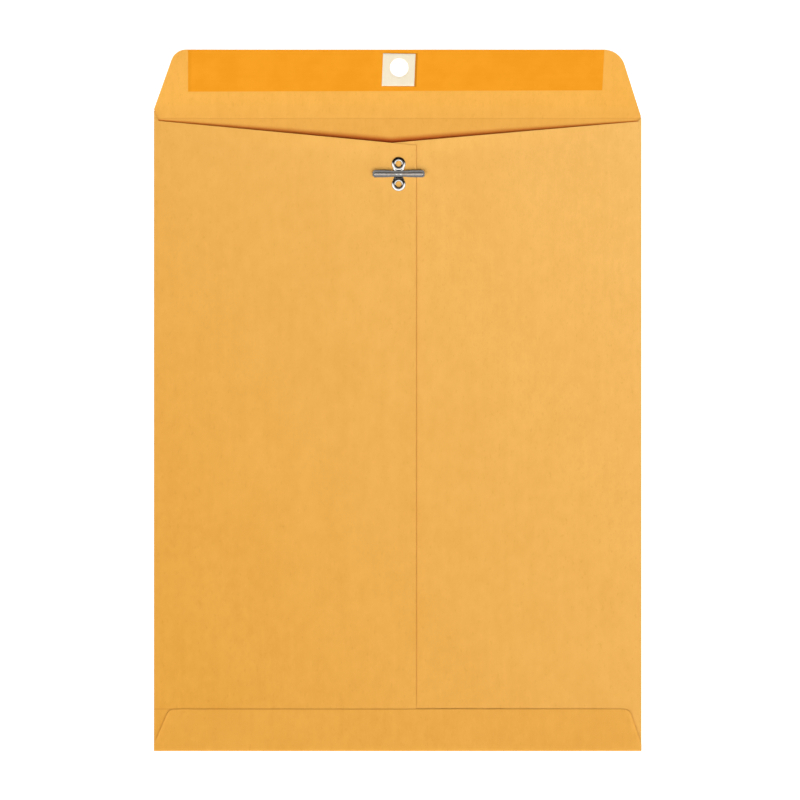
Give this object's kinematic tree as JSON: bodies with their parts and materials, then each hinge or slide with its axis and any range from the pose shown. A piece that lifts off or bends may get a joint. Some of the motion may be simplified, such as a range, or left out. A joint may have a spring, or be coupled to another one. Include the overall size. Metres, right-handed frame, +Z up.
{
  "type": "clasp envelope",
  "caption": "Flat kraft envelope with a glued back seam, an open gummed flap with a reinforced hole, and a metal clasp whose prongs bend up to hold the flap.",
  "frame": {"origin": "on the surface that the envelope lies on, under the middle of the open envelope's length and width", "axes": "+X to the right as seen from the back, +Y along the length towards the flap, +Z up out of the back, where the clasp is"},
  "size_m": [0.254, 0.3656, 0.0038],
  "materials": {
    "kraft_paper": "matte",
    "flap_gum": "satin",
    "patch_paper": "matte",
    "dried_glue": "satin",
    "tinned_steel": "gloss"
  },
  "bodies": {
    "envelope": {"front_panel": "kraft_paper", "left_side_fold": "kraft_paper", "right_side_fold": "kraft_paper", "left_back_panel": "kraft_paper", "right_back_panel": "kraft_paper", "seam_glue": "dried_glue", "bottom_fold": "kraft_paper", "bottom_flap": "kraft_paper", "bottom_flap_glue": "dried_glue", "flap_crease": "kraft_paper", "clasp_base": "tinned_steel"},
    "flap": {"seal_flap": "kraft_paper", "gum_band": "flap_gum", "hole_patch": "patch_paper"},
    "left_tongue": {"left_prong": "tinned_steel"},
    "right_tongue": {"right_prong": "tinned_steel"}
  },
  "joints": [
    {"name": "flap_fold", "type": "hinge", "parent": "envelope", "child": "flap", "pos_m": [0, 0.14745, 0.00134], "axis": [1, 0, 0], "range_deg": [0, 179.5], "deforming": ["flap_crease"]},
    {"name": "left_prong_bend", "type": "hinge", "parent": "envelope", "child": "left_tongue", "pos_m": [-0.0006, 0.11775, 0.00304], "axis": [0, 1, 0], "range_deg": [0, 90]},
    {"name": "right_prong_bend", "type": "hinge", "parent": "envelope", "child": "right_tongue", "pos_m": [0.0016, 0.11775, 0.00304], "axis": [0, -1, 0], "range_deg": [0, 90]}
  ]
}
